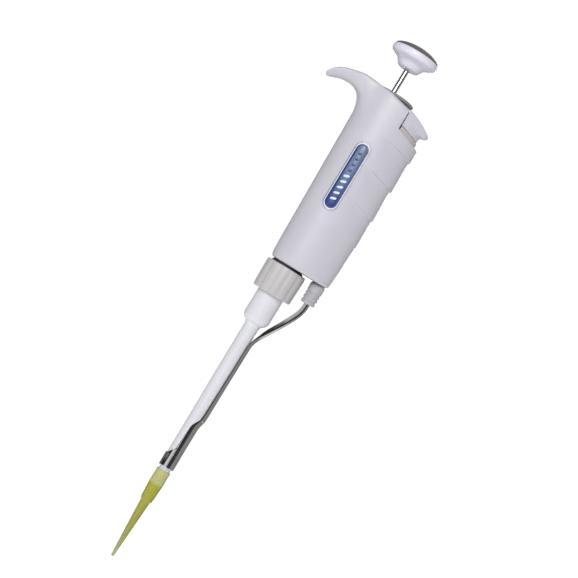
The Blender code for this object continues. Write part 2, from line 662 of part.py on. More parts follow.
frame = empty("pipette_frame", (-HOOK_SEAT_X, 0, -HOOK_SEAT_Z))
dial_axis = empty("dial_axis", (0, 0, 0), frame)
screw_axis = empty("screw_axis", (0, 0, 0), dial_axis)
plunger_axis = empty("plunger_axis", (0, 0, 0), screw_axis)
ejector_axis = empty("ejector_axis", (0, 0, 0), frame)

make_handle(frame)
make_base(frame)
make_badge(frame)
make_window(frame)
make_dial(dial_axis)
make_counter_drum("tens_drum", 1, frame)
make_counter_drum("hundreds_drum", 2, frame)
make_volume_screw(screw_axis)
make_volume_fixed(frame)
make_plunger(plunger_axis)
make_stop_washer(frame)
make_nut(frame)
make_barrel(frame)
make_o_ring(frame)
make_ejector_top(ejector_axis)
make_ejector_fixed(frame)
make_boot(ejector_axis)
make_arm(ejector_axis)
make_tip(ejector_axis)
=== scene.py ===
"""Looks of the adjustable micropipette: fine surfaces, materials, a soft studio and the camera."""
import math

import bmesh
import bpy
from mathutils import Matrix, Vector


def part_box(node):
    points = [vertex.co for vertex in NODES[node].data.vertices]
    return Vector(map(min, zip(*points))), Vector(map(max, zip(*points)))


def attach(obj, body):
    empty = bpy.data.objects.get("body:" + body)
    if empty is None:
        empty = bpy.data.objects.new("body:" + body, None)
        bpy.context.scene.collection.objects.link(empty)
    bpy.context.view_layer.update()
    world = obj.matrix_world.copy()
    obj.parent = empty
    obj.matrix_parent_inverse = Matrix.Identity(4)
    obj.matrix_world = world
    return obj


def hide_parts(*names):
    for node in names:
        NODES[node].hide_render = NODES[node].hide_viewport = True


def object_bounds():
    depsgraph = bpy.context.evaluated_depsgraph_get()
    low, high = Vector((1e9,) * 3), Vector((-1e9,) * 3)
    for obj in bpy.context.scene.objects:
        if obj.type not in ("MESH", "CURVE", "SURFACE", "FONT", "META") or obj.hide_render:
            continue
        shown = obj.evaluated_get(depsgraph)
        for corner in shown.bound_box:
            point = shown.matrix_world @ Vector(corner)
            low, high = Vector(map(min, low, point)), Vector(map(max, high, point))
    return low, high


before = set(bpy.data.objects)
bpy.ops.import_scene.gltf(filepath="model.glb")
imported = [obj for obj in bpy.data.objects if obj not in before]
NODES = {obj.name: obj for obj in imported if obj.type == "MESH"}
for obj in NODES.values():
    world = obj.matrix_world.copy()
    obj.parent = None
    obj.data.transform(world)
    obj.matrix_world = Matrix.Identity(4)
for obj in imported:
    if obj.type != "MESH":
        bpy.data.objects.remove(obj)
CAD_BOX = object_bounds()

MM = 0.001
ON_AXIS = 1e-6                   # a smaller radius is a point on the axis

# The plunger axis and the handle's bottom edge, read from the frame. Shapes below are in millimetres from
# that point, with +X towards the ejector and +Z towards the knob.
NUT_TOP = -1.1                   # the nut's upper face, just under the handle's bottom edge
_low, _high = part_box("coupling_nut")
AXIS = Vector(((_low[0] + _high[0]) / 2, (_low[1] + _high[1]) / 2, _high[2] - NUT_TOP * MM))

WALL = 1.8                       # handle shell's thickness
WIDEST_X = 3.0                   # where the handle is widest, off the plunger's axis
GRIP_HEIGHTS = (27.5, 43.2, 60.1, 76.8)
DIAL_R, DIAL_Z = 12.2, 96.2      # rim and underside of the volume dial
NOTCH_X, NOTCH_Z, NOTCH_SLOPE = 11.1, 83.6, -0.28    # step under the button: left edge, height, slope
WALL_X = 11.4                    # flat wall behind the button
WELL_A, WELL_B = 20.2, 11.9      # half axes of the ejector button's well
EJECT_X = 17.5                   # ejector axis
SLEEVE_R, SLEEVE_T = 3.82, 0.24  # ejector sleeve's mid radius and sheet thickness
TUBE_R = 3.85                    # barrel tube's radius at its top
NOZZLE_END, TIP_TOP, TIP_END = -123.6, -116.7, -165.4
BADGE_X, BADGE_Z = 1.7, 51.2     # badge's centre
WINDOW_Z = 65.9                  # counter window's centre
COUNTER_R, DRUM_Z, DRUM_H = 9.2, 58.6, 5.0           # drums: radius, lowest edge and spacing

MATS = {}                        # every material by its short name, filled by make_materials


# ---------------------------------------------------------------- mesh helpers

def mix(a, b, t):
    return a + (b - a) * t


def smooth_step(t):
    t = max(0.0, min(1.0, t))
    return t * t * (3 - 2 * t)


def along(table, x):
    """Straight-line reading of a table of (x, value) pairs."""
    if x <= table[0][0]:
        return table[0][1]
    for (x0, v0), (x1, v1) in zip(table, table[1:]):
        if x <= x1:
            return mix(v0, v1, (x - x0) / (x1 - x0))
    return table[-1][1]


def curve_through(points, per_span):
    """Points of a smooth curve through the given ones, by the uniform Catmull-Rom rule."""
    last = len(points) - 1
    made = []
    for n in range(last):
        four = [points[max(0, min(last, n + d))] for d in (-1, 0, 1, 2)]
        for m in range(per_span):
            t = m / per_span
            made.append(tuple(
                0.5 * (2 * b + (c - a) * t + (2 * a - 5 * b + 4 * c - d) * t * t
                       + (3 * b - a - 3 * c + d) * t ** 3) for a, b, c, d in zip(*four)))
    made.append(tuple(points[-1]))
    return made


def rounded(outline, radius, steps=4):
    """An outline with its corners rounded: (r, z), or (r, z, radius) for a corner's own; the ends stay."""
    shortest = 0.01
    made = [outline[0]]
    for before, corner, after in zip(outline, outline[1:], outline[2:]):
        a, b, c = Vector(before[:2]), Vector(corner[:2]), Vector(after[:2])
        reach = corner[2] if len(corner) > 2 else radius
        reach = min(reach, (a - b).length * 0.48, (c - b).length * 0.48)
        if reach < shortest:
            made.append((b.x, b.y))
            continue
        start, end = b + (a - b).normalized() * reach, b + (c - b).normalized() * reach
        for n in range(steps + 1):
            t = n / steps
            p = start * (1 - t) ** 2 + b * 2 * t * (1 - t) + end * t * t
            made.append((p.x, p.y))
    made.append(outline[-1][:2])
    return made


def mesh_of(name, points, faces):
    mesh = bpy.data.meshes.new(name)
    mesh.from_pydata([Vector(p) * MM for p in points], [], faces)
    return mesh


def face_outwards(mesh):
    work = bmesh.new()
    work.from_mesh(mesh)
    bmesh.ops.recalc_face_normals(work, faces=work.faces)
    if work.calc_volume(signed=True) < 0:
        bmesh.ops.reverse_faces(work, faces=work.faces)
    work.to_mesh(mesh)
    work.free()


def loft(name, sections, closed=False):
    """Join rows of points into a solid: each section is a loop, and the ends are capped or joined."""
    count, rows = len(sections[0]), len(sections)
    points = [p for section in sections for p in section]
    faces = []
    for row in range(rows if closed else rows - 1):
        low, high = row * count, (row + 1) % rows * count
        faces += [(low + i, low + (i + 1) % count, high + (i + 1) % count, high + i) for i in range(count)]
    if not closed:
        faces.append(tuple(range(count - 1, -1, -1)))
        faces.append(tuple(range((rows - 1) * count, rows * count)))
    mesh = mesh_of(name, points, faces)
    face_outwards(mesh)
    return mesh


def turned_mesh(name, outline, steps, radial=None):
    """A turned solid from (r, z) pairs down its outer side; radial(turn, r, z) may change the radius."""
    ring = outline[0][0] > ON_AXIS
    points, rows = [], []
    for r, z in outline:
        if r < ON_AXIS:
            rows.append([len(points)] * steps)
            points.append((0, 0, z))
            continue
        rows.append(list(range(len(points), len(points) + steps)))
        for n in range(steps):
            turn = 2 * math.pi * n / steps
            reach = radial(turn, r, z) if radial else r
            points.append((reach * math.cos(turn), reach * math.sin(turn), z))
    faces = []
    pairs = list(zip(rows, rows[1:])) + ([(rows[-1], rows[0])] if ring else [])
    for upper, lower in pairs:
        for n in range(steps):
            m = (n + 1) % steps
            corners = [upper[n], upper[m], lower[m], lower[n]]
            face = list(dict.fromkeys(corners))
            if len(face) > 2:
                faces.append(face)
    mesh = mesh_of(name, points, faces)
    face_outwards(mesh)
    return mesh


def into_scene(obj):
    bpy.context.scene.collection.objects.link(obj)


def evaluated_mesh(obj):
    """A new mesh of the object as its modifiers or its text leave it."""
    graph = bpy.context.evaluated_depsgraph_get()
    return bpy.data.meshes.new_from_object(obj.evaluated_get(graph))


def reshade(mesh, sharp):
    """Smooth shading, with a hard edge wherever two faces meet at more than sharp degrees."""
    mesh.shade_smooth()
    mesh.set_sharp_from_angle(angle=math.radians(sharp))


def add(name, mesh, mat, at=(0, 0, 0), sharp=40):
    """Link a mesh as an object in the row frame; at is in millimetres from the plunger axis's base."""
    mesh.materials.clear()
    mesh.materials.append(mat)
    reshade(mesh, sharp)
    obj = bpy.data.objects.new(name, mesh)
    obj.location = AXIS + Vector(at) * MM
    into_scene(obj)
    return obj


def finish_piece(obj, body, slot, *nodes):
    """Ride a piece on its body and let it stand for its CAD nodes; the slot, its finish's name, is not used.
    """
    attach(obj, body)
    if nodes:
        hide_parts(*nodes)


def turned_piece(name, outline, steps, key, body, slot, node, radial=None, at=(0, 0, 0), sharp=50):
    """A turned solid in material key that stands for one CAD node."""
    piece = add(name, turned_mesh(name, outline, steps, radial), MATS[key], at, sharp)
    finish_piece(piece, body, slot, node)


def apply_modifiers(obj):
    """Swap the object's mesh for its evaluated one and drop the modifiers."""
    made = evaluated_mesh(obj)
    obj.modifiers.clear()
    obj.data = made


def cut(obj, mesh, operation="DIFFERENCE", solver="EXACT"):
    """Apply one Boolean with a throwaway tool in the object's own place."""
    tool = bpy.data.objects.new("tool", mesh)
    tool.location = obj.location
    into_scene(tool)
    mod = obj.modifiers.new("cut", "BOOLEAN")
    mod.operation, mod.solver, mod.object = operation, solver, tool
    apply_modifiers(obj)
    bpy.data.objects.remove(tool)


def subdivide(obj, levels):
    mod = obj.modifiers.new("smooth", "SUBSURF")
    mod.levels = mod.render_levels = levels
    apply_modifiers(obj)


def prism(outline, low, high, axis="Z"):
    """A flat outline drawn out between two planes: (x, y) points along Z, or (x, z) points along Y."""
    def at(point, level):
        return (point[0], point[1], level) if axis == "Z" else (point[0], level, point[1])
    return loft("tool", [[at(p, low) for p in outline], [at(p, high) for p in outline]])


def cylinder(radius, bottom, top, steps=96):
    return turned_mesh("tool", [(0, top), (radius, top), (radius, bottom), (0, bottom)], steps)


def stadium(width, height, arc_points=24):
    """Outline of a slot with round ends, standing up: (x, z) points about its centre."""
    radius, straight = width / 2, (height - width) / 2
    ends = []
    for centre, start in ((straight, 0.0), (-straight, math.pi)):
        for n in range(arc_points + 1):
            turn = start + math.pi * n / arc_points
            ends.append((radius * math.cos(turn), centre + radius * math.sin(turn)))
    return ends


def block_cage(name, cells, point):
    """The skin of a set of unit cells as a quad cage; point(i, j, k) gives each corner's place."""
    sides = {
        (1, 0, 0): ((1, 0, 0), (1, 1, 0), (1, 1, 1), (1, 0, 1)),
        (-1, 0, 0): ((0, 0, 0), (0, 0, 1), (0, 1, 1), (0, 1, 0)),
        (0, 1, 0): ((0, 1, 0), (0, 1, 1), (1, 1, 1), (1, 1, 0)),
        (0, -1, 0): ((0, 0, 0), (1, 0, 0), (1, 0, 1), (0, 0, 1)),
        (0, 0, 1): ((0, 0, 1), (1, 0, 1), (1, 1, 1), (0, 1, 1)),
        (0, 0, -1): ((0, 0, 0), (0, 1, 0), (1, 1, 0), (1, 0, 0)),
    }
    used, faces = {}, []
    for cell in sorted(cells):
        for step, corners in sides.items():
            if tuple(c + s for c, s in zip(cell, step)) in cells:
                continue
            keys = [tuple(c + d for c, d in zip(cell, corner)) for corner in corners]
            faces.append([used.setdefault(key, len(used)) for key in keys])
    mesh = mesh_of(name, [point(*key) for key in used], faces)
    face_outwards(mesh)
    return mesh


# ---------------------------------------------------------------- materials

class Nodes:
    """A short way to write a node material."""

    def __init__(self, name):
        self.mat = bpy.data.materials.new(name)
        self.mat.use_nodes = True
        self.tree = self.mat.node_tree
        self.shader = self.tree.nodes["Principled BSDF"]
        self.place = None

    def add(self, kind, **values):
        node = self.tree.nodes.new(kind)
        for key, value in values.items():
            setattr(node, key, value)
        return node

    def link(self, out, into):
        self.tree.links.new(out, into)

    def coords(self):
        if self.place is None:
            self.place = self.add("ShaderNodeTexCoord").outputs["Object"]
        return self.place

    def stretched(self, scale):
        """Object coordinates scaled by axis, for streaks and drawn marks."""
        mapping = self.add("ShaderNodeMapping")
        mapping.inputs["Scale"].default_value = scale
        self.link(self.coords(), mapping.inputs["Vector"])
        return mapping.outputs["Vector"]

    def noise(self, scale, detail, rough=0.5, vector=None):
        node = self.add("ShaderNodeTexNoise")
        node.inputs["Scale"].default_value = scale
        node.inputs["Detail"].default_value = detail
        node.inputs["Roughness"].default_value = rough
        self.link(vector or self.coords(), node.inputs["Vector"])
        return node.outputs["Fac"]

    def spread(self, value, low, high, start=0.3, end=0.7):
        """Map a value from start..end, the usual span of a noise, to low..high."""
        node = self.add("ShaderNodeMapRange")
        for key, amount in (("From Min", start), ("From Max", end), ("To Min", low), ("To Max", high)):
            node.inputs[key].default_value = amount
        self.link(value, node.inputs["Value"])
        return node.outputs["Result"]

    def height(self, low, high):
        """How far up a point is between two heights in millimetres, as 0 to 1."""
        split = self.add("ShaderNodeSeparateXYZ")
        self.link(self.coords(), split.inputs["Vector"])
        return self.spread(split.outputs["Z"], 0.0, 1.0, low * MM, high * MM)

    def ramp(self, value, *stops):
        node = self.add("ShaderNodeValToRGB")
        ramp = node.color_ramp
        while len(ramp.elements) < len(stops):
            ramp.elements.new(0.5)
        for element, (position, colour) in zip(ramp.elements, stops):
            element.position = position
            element.color = (*colour, 1.0)
        self.link(value, node.inputs["Fac"])
        return node.outputs["Color"]

    def bump(self, height, strength, distance, normal=None):
        node = self.add("ShaderNodeBump")
        node.inputs["Strength"].default_value = strength
        node.inputs["Distance"].default_value = distance
        self.link(height, node.inputs["Height"])
        if normal:
            self.link(normal, node.inputs["Normal"])
        return node.outputs["Normal"]

    def set(self, **values):
        for key, value in values.items():
            self.shader.inputs[key.replace("_", " ")].default_value = value

    def into(self, key, out):
        self.link(out, self.shader.inputs[key])


PLASTIC_IOR = 1.49
GRAIN_SCALE = 2600.0


def shade(colour, factor):
    return tuple(min(1.0, c * factor) for c in colour)


def plastic(name, colour, roughness, grain, variation, coat=0.0):
    """Moulded plastic: faint cloudiness, fine spark-eroded grain and uneven gloss."""
    n = Nodes(name)
    cloud = n.noise(55.0, 3.0)
    n.into("Base Color", n.ramp(cloud, (0.30, shade(colour, 1 - variation)), (0.55, colour),
                                (0.75, shade(colour, 1 + variation * 0.7))))
    n.into("Roughness", n.spread(n.noise(160.0, 4.0), roughness - 0.05, roughness + 0.07))
    fine = n.bump(n.noise(GRAIN_SCALE, 2.0), grain, 0.00003)
    n.into("Normal", n.bump(n.noise(90.0, 2.0), 0.06, 0.0002, fine))
    n.set(IOR=PLASTIC_IOR, Coat_Weight=coat, Coat_Roughness=0.12)
    return n.mat


def steel(name, colour, roughness, streak_scale, streak):
    """Drawn or rolled steel: streaks along the part, small stains and an uneven polish."""
    n = Nodes(name)
    lines = n.noise(1.0, 4.0, 0.6, n.stretched(streak_scale))
    n.into("Base Color", n.ramp(n.noise(70.0, 4.0), (0.3, shade(colour, 0.86)), (0.7, colour)))
    n.into("Roughness", n.spread(lines, roughness - 0.04, roughness + 0.09))
    n.into("Normal", n.bump(lines, streak, 0.00004))
    n.set(Metallic=1.0)
    return n.mat


def make_materials():
    MATS["handle"] = plastic("moulded_handle", (0.635, 0.618, 0.680), 0.37, 0.06, 0.02)
    # The knob's plastic is paler than the handle's partly as painted light: brightened to stand for the
    # light that reaches its underside from below.
    MATS["knob"] = plastic("moulded_knob_painted_light", (0.830, 0.815, 0.915), 0.28, 0.03, 0.02)
    MATS["button"] = plastic("moulded_button", (0.670, 0.665, 0.750), 0.32, 0.04, 0.02)
    MATS["barrel"] = plastic("moulded_barrel", (0.790, 0.785, 0.840), 0.30, 0.03, 0.015)
    MATS["cap"] = plastic("cap_grey", (0.175, 0.145, 0.155), 0.34, 0.08, 0.06)
    MATS["dial"] = plastic("dial_grey", (0.330, 0.315, 0.305), 0.42, 0.12, 0.06)
    MATS["nut"] = plastic("nut_grey", (0.590, 0.572, 0.578), 0.42, 0.10, 0.04)
    MATS["boot"] = plastic("boot_grey", (0.505, 0.495, 0.525), 0.50, 0.10, 0.04)
    # The slider's beige, darker than the button's plastic, is partly painted shade: it stands for the shadow
    # in the recess under the button, where the slider sits.
    MATS["slider"] = plastic("slider_beige", (0.620, 0.585, 0.570), 0.45, 0.08, 0.04)
    MATS["inner"] = plastic("inner_grey", (0.060, 0.060, 0.066), 0.55, 0.10, 0.08)
    MATS["drum"] = plastic("drum_white", (0.84, 0.84, 0.81), 0.40, 0.04, 0.02)
    MATS["ink"] = plastic("number_ink", (0.02, 0.02, 0.022), 0.45, 0.04, 0.05)
    MATS["seal"] = plastic("seal_white", (0.84, 0.84, 0.82), 0.45, 0.03, 0.02)
    MATS["rubber"] = plastic("black_elastomer", (0.025, 0.025, 0.026), 0.65, 0.20, 0.10)
    MATS["polished"] = steel("polished_steel", (0.72, 0.70, 0.685), 0.09, (900.0, 900.0, 12.0), 0.08)
    MATS["rod"] = steel("rod_steel", (0.70, 0.67, 0.65), 0.09, (30.0, 30.0, 1600.0), 0.03)
    MATS["brushed"] = steel("ground_steel", (0.60, 0.59, 0.58), 0.28, (40.0, 40.0, 1500.0), 0.20)
    MATS["brass"] = steel("machined_brass", (0.70, 0.50, 0.22), 0.26, (40.0, 40.0, 1500.0), 0.20)
    MATS["foil"] = steel("badge_foil", (0.46, 0.49, 0.53), 0.46, (500.0, 500.0, 30.0), 0.10)
    MATS["badge"] = badge_print()
    MATS["pale_line"] = plastic("badge_pale_line", (0.86, 0.90, 0.95), 0.25, 0.02, 0.02)
    MATS["outline"] = plastic("badge_blue_line", (0.014, 0.040, 0.235), 0.30, 0.02, 0.05, coat=0.2)
    MATS["motif"] = plastic("badge_motif", (0.74, 0.78, 0.84), 0.25, 0.02, 0.03, coat=0.6)
    MATS["lens"] = lens_clear()
    MATS["tip"] = tip_polypropylene()


def badge_print():
    """Printed field that runs from deep blue at the bottom to a dull grey blue at the top."""
    n = Nodes("badge_print")
    reach = 17.0
    height = n.height(BADGE_Z - reach, BADGE_Z + reach)
    n.into("Base Color", n.ramp(height, (0.0, (0.022, 0.060, 0.240)), (0.30, (0.075, 0.125, 0.300)),
                                (0.60, (0.150, 0.215, 0.350)), (1.0, (0.155, 0.205, 0.270))))
    n.into("Roughness", n.spread(n.noise(300.0, 3.0), 0.20, 0.30))
    n.into("Normal", n.bump(n.noise(120.0, 2.0), 0.05, 0.0002))
    n.set(Coat_Weight=0.25, Coat_Roughness=0.10, Specular_IOR_Level=0.3)
    return n.mat


def lens_clear():
    n = Nodes("window_acrylic")
    n.into("Roughness", n.spread(n.noise(400.0, 3.0), 0.02, 0.08))
    n.into("Normal", n.bump(n.noise(60.0, 2.0), 0.03, 0.0002))
    n.set(Base_Color=(0.93, 0.95, 0.97, 1.0), IOR=PLASTIC_IOR, Transmission_Weight=1.0)
    return n.mat


def tip_polypropylene():
    """Milky yellow-green polypropylene: paler where the nozzle fills it and towards the thin end."""
    n = Nodes("tip_polypropylene")
    height = n.height(TIP_END, TIP_TOP)
    flow = n.noise(1.0, 3.0, 0.5, n.stretched((160.0, 160.0, 12.0)))
    tint = n.ramp(height, (0.0, (0.520, 0.540, 0.300)), (0.20, (0.440, 0.435, 0.150)),
                  (0.45, (0.450, 0.440, 0.085)), (0.83, (0.500, 0.500, 0.060)),
                  (0.86, (0.640, 0.645, 0.250)), (1.0, (0.660, 0.665, 0.270)))
    veil = n.add("ShaderNodeMix", data_type="RGBA", blend_type="MULTIPLY")
    veil.inputs["Factor"].default_value = 0.5
    n.link(tint, veil.inputs["A"])
    n.link(n.ramp(flow, (0.3, (0.88, 0.88, 0.84)), (0.7, (1.0, 1.0, 1.0))), veil.inputs["B"])
    n.into("Base Color", veil.outputs["Result"])
    n.into("Roughness", n.spread(flow, 0.24, 0.32))
    n.into("Normal", n.bump(flow, 0.02, 0.00004))
    n.set(IOR=PLASTIC_IOR, Transmission_Weight=0.15, Specular_IOR_Level=0.4)
    return n.mat


# ---------------------------------------------------------------- handle

# Top edge as (x, z), half the thickness as (z, y), and the hook's stations as x, z, half height, half width
# and lean in degrees.
TOP_LINE = ((-12.5, 98.4), (-7.1, 98.3), (-2.0, 97.5), (2.6, 96.4), (10.9, 94.6), (17.3, 92.6), (24.8, 89.5))
HALF_THICKNESS = ((0, 12.3), (40, 12.9), (75, 13.7), (98, 14.4))
HOOK = ((-15.8, 95.0, 3.7, 10.6, 6), (-20.0, 95.1, 2.7, 9.4, -2), (-24.6, 94.7, 2.3, 8.6, 14),
        (-28.6, 93.1, 2.0, 7.8, 30), (-31.4, 91.1, 1.3, 6.4, 42), (-32.7, 89.8, 0.75, 4.6, 52))
HOOK_RISE = (-1.0, -0.1, 0.72, 1.0)         # shares of the half height, from the hook's foot to its top
HOOK_WIDTH = (0.58, 0.90, 1.0, 0.84)        # shares of the half width
HOOK_SWELL_Z, HOOK_SWELL_Y = 1.08, 1.05     # make up for what subdividing takes off the hook
CREASE_HALF, CAGE_GAP = 0.7, 8.4            # cage rows beside each crease, and the next row above it
EDGE_INSET, EDGE_DROP = 0.9, 1.3            # rounding of the foot and the top edge
BODY_LEVELS = [0.0, 1.3, 14.0]
for _height in GRIP_HEIGHTS[:3]:
    BODY_LEVELS += [_height - CREASE_HALF, _height + CREASE_HALF]
    if _height != GRIP_HEIGHTS[2]:
        BODY_LEVELS.append(_height + CAGE_GAP)
BODY_LEVELS += [68.4, GRIP_HEIGHTS[3] - CREASE_HALF, GRIP_HEIGHTS[3] + CREASE_HALF, 83.5, 91.0]
HOOK_LEVEL = len(BODY_LEVELS) - 2
EDGE_LEVEL, TOP_LEVEL = len(BODY_LEVELS), len(BODY_LEVELS) + 1
LIMIT = 6 / (4 + 2 * math.cos(2 * math.pi / 16))     # makes up for what subdividing takes off the ring
GRIP_DEPTH = (0.55, 0.85, 0.65, 0.65)
GRIP_FALL = 0.25                 # how fast the creases drop towards the ejector side
GRIP_X = 10.0                    # where they start to drop


def side_reach(z, ejector_side):
    """From the widest place to the body's edge at height z, towards the ejector or towards the hook."""
    return 19.85 + 0.0275 * z if ejector_side else 13.25 + 0.0235 * z


def body_section(angle, z, inset=0.0):
    """A point of the egg-shaped section at height z: x and y from the widest place."""
    half = along(HALF_THICKNESS, z) - inset
    reach = side_reach(z, math.cos(angle) > 0) - inset
    return reach * math.cos(angle), half * math.sin(angle)


def body_point(i, j, k):
    """Cage corner of the handle's body, for columns 0 to 4 each way."""
    u, v = (i - 2) / 2, (j - 2) / 2
    ring = max(abs(u), abs(v))
    if ring == 0:
        angle = 0.0
    elif abs(u) >= abs(v):
        angle = math.pi / 4 * v / ring if u > 0 else math.pi - math.pi / 4 * v / ring
    else:
        angle = math.pi / 2 - math.pi / 4 * u / ring if v > 0 else -math.pi / 2 + math.pi / 4 * u / ring
    z = BODY_LEVELS[min(k, EDGE_LEVEL - 1)]
    x, y = body_section(angle, z, EDGE_INSET if k in (0, TOP_LEVEL) else 0.0)
    x, y = WIDEST_X + x * ring * LIMIT, y * ring * LIMIT
    if k >= EDGE_LEVEL:
        return x, y, along(TOP_LINE, x) - (EDGE_DROP if k == EDGE_LEVEL else 0.0)
    return x, y, z


def hook_point(i, j, k):
    """Cage corner of the finger hook, for columns -1 and below."""
    x, z, high, wide, lean = HOOK[-i - 1]
    v = (j - 2) / 2
    rise, width = HOOK_RISE[k - HOOK_LEVEL], HOOK_WIDTH[k - HOOK_LEVEL]
    crown = 0.16 * (1 - v * v) if k == TOP_LEVEL else 0.0
    belly = 0.10 * (1 - v * v) if k == HOOK_LEVEL else 0.0
    across = math.radians(lean)
    rise = (rise + crown - belly) * high * HOOK_SWELL_Z
    return x - rise * math.sin(across), HOOK_SWELL_Y * wide * width * v, z + rise * math.cos(across)


def slice_grips(obj):
    """Add edge rows along each crease, so that the step between two panels is crisp."""
    work = bmesh.new()
    work.from_mesh(obj.data)
    tilt = Vector((GRIP_FALL, 0, 1)).normalized()
    left, band = 5.0, 6.0
    for height in GRIP_HEIGHTS:
        for offset in (-0.22, 0.0, 0.22):
            at = Vector((GRIP_X, 0, height + offset)) * MM
            near = [f for f in work.faces if f.calc_center_median().x > left * MM
                    and abs(tilt.dot(f.calc_center_median() - at)) < band * MM]
            geometry = near + list({e for f in near for e in f.edges})
            geometry += list({v for f in near for v in f.verts})
            bmesh.ops.bisect_plane(work, geom=geometry, plane_co=at, plane_no=tilt)
    work.to_mesh(obj.data)
    work.free()


def press_grips(mesh):
    """Draw each finger-grip panel in towards its top, so that the next one's foot stands proud of it."""
    bottom, top, left = 1.5, 83.5, 6.0
    lowest_inset = 0.30
    panel, crease_reach = 15.0, 14.0
    fade_x, fade_extra, fade_width = 9.5, 3.0, 9.0
    half_x, half_y = 21.0, 13.0
    for vert in mesh.vertices:
        x, y, z = (c / MM for c in vert.co)
        if not bottom < z < top or x < left:
            continue
        centre = z + GRIP_FALL * max(0.0, x - GRIP_X)
        inset = lowest_inset
        for height, depth in zip(GRIP_HEIGHTS, GRIP_DEPTH):
            if centre > height:
                inset = depth * smooth_step((centre - height) / panel)
        near = max(1 - abs(centre - height + 2.0) / crease_reach for height in GRIP_HEIGHTS)
        fade = smooth_step((x - fade_x + fade_extra * max(0.0, near)) / fade_width)
        inward = Vector(((x - WIDEST_X) / half_x ** 2, y / half_y ** 2, 0)).normalized()
        vert.co -= inward * (inset * fade * MM)


def section_outline(z, inset, points=96):
    turns = [2 * math.pi * n / points for n in range(points)]
    return [(WIDEST_X + x, y) for x, y in (body_section(t, z, inset) for t in turns)]


def well_outline(shrink, left, points=49):
    """The ejector button's plan: flat on the left and an ellipse's arc on the right."""
    a, b = WELL_A - shrink, WELL_B - shrink
    limit = math.acos((left - WIDEST_X) / a)
    turns = [mix(-limit, limit, n / (points - 1)) for n in range(points)]
    return [(WIDEST_X + a * math.cos(t), b * math.sin(t)) for t in turns]


# Radius, bottom, top and steps of the room for the counter, the dial's hub and the dial.
HANDLE_BORES = ((9.5, 66.0, 92.7, 96), (7.0, 91.0, 105.0, 96), (DIAL_R + 0.35, 95.95, 105.0, 128))
WINDOW_SIZE = (7.0, 20.0)


def make_handle():
    """One smooth skin for body and hook, with its grips, its hollow and the cuts for what it holds."""
    cells = {(i, j, k) for i in range(4) for j in range(4) for k in range(TOP_LEVEL)}
    cells |= {(i, j, k) for i in range(-len(HOOK), 0) for j in range(4)
              for k in range(HOOK_LEVEL, TOP_LEVEL)}
    cage = block_cage("handle_skin", cells,
                      lambda i, j, k: body_point(i, j, k) if i >= 0 else hook_point(i, j, k))
    skin = add("handle_skin", cage, MATS["handle"])
    subdivide(skin, 3)
    slice_grips(skin)
    press_grips(skin.data)
    hollow = [[(x, y, z) for x, y in section_outline(z, WALL)] for z in (-2.0, 36.0, 68.0)]
    cut(skin, loft("tool", hollow), solver="MANIFOLD")
    half_wall, outside, above = 7, (32, 20), 110.0
    plan = ((WALL_X, -half_wall), (WALL_X, half_wall), (NOTCH_X, half_wall), (NOTCH_X, outside[1]),
            outside, (outside[0], -outside[1]), (NOTCH_X, -outside[1]), (NOTCH_X, -half_wall))
    floor = [(x, y, NOTCH_Z + NOTCH_SLOPE * (x - NOTCH_X)) for x, y in plan]
    cut(skin, loft("tool", [floor, [(x, y, above) for x, y in plan]]))
    cut(skin, prism(well_outline(0, WALL_X), 67.0, 90.0))
    for radius, bottom, top, steps in HANDLE_BORES:
        cut(skin, cylinder(radius, bottom, top, steps))
    cut(skin, prism([(x, z + WINDOW_Z) for x, z in stadium(*WINDOW_SIZE)], 5.0, 20.0, "Y"))
    skin.data.materials.clear()
    skin.data.materials.append(MATS["handle"])
    reshade(skin.data, 32)
    finish_piece(skin, "handle", "handle_plastic", "handle_shell")


# ---------------------------------------------------------------- badge, window and counter

def on_skin(x, z, rise):
    """The point at x and z that stands proud of the handle's front face by rise."""
    share = (x - WIDEST_X) / side_reach(z, x > WIDEST_X)
    return x, -(along(HALF_THICKNESS, z) * math.sqrt(1 - share ** 2) + rise), z


def skin_oval(width, height, rise):
    """The outline of a slot round the badge's centre, laid on the front face."""
    return [on_skin(x + BADGE_X, z + BADGE_Z, rise) for x, z in stadium(width, height)]


def badge_ring(name, mat, slot, outer, inner, rise_out, rise_top, *nodes):
    """A raised oval band on the handle's front, following its curve; sizes are (width, height)."""
    soft, depth = 0.18, -0.6
    rows = [skin_oval(*outer, depth), skin_oval(*outer, rise_out),
            skin_oval(outer[0] - soft, outer[1] - soft, rise_top),
            skin_oval(inner[0] + soft, inner[1] + soft, rise_top),
            skin_oval(*inner, rise_top - 0.1), skin_oval(*inner, depth)]
    band = add(name, loft(name, rows, closed=True), mat)
    finish_piece(band, "handle", slot, *nodes)


def badge_field(size, rise):
    """The badge's filled face, gently domed like poured resin."""
    steps, crown, depth = 7, 0.22, 0.8
    rows = []
    for n in range(steps):
        t = n / steps
        dome = crown * (1 - (1 - t) ** 2)
        rows.append(skin_oval(size[0] * (1 - t), size[1] - size[0] * t, rise + dome))
    base = [(x, y + depth, z) for x, y, z in rows[0]]
    field = add("badge_face", loft("badge_face", [base] + rows), MATS["badge"], sharp=60)
    finish_piece(field, "handle", "badge_print", "badge_plate")


def badge_motif():
    """Plain white bars with blue dots above them, in place of any mark."""
    bars, dots, spacing = 5, 4, 3.1
    half_height, slant = 0.62, 0.3
    for n in range(bars + dots):
        middle = BADGE_Z + spacing * (n - (bars + dots - 1) / 2)
        half_width = 1.45 if n < bars else 0.75
        rows = []
        for share, rise in ((1.0, -0.1), (1.0, 0.47), (0.9, 0.52), (0.5, 0.56)):
            row = []
            for t in (2 * math.pi * m / 32 for m in range(32)):
                x = half_width * share * math.copysign(abs(math.cos(t)) ** 0.5, math.cos(t))
                z = half_height * share * math.copysign(abs(math.sin(t)) ** 0.7, math.sin(t)) + slant * x
                row.append(on_skin(BADGE_X + x, middle + z, rise))
            rows.append(row)
        bar = add(f"badge_bar_{n}", loft("badge_bar", rows), MATS["motif" if n < bars else "outline"])
        finish_piece(bar, "handle", "badge_print")


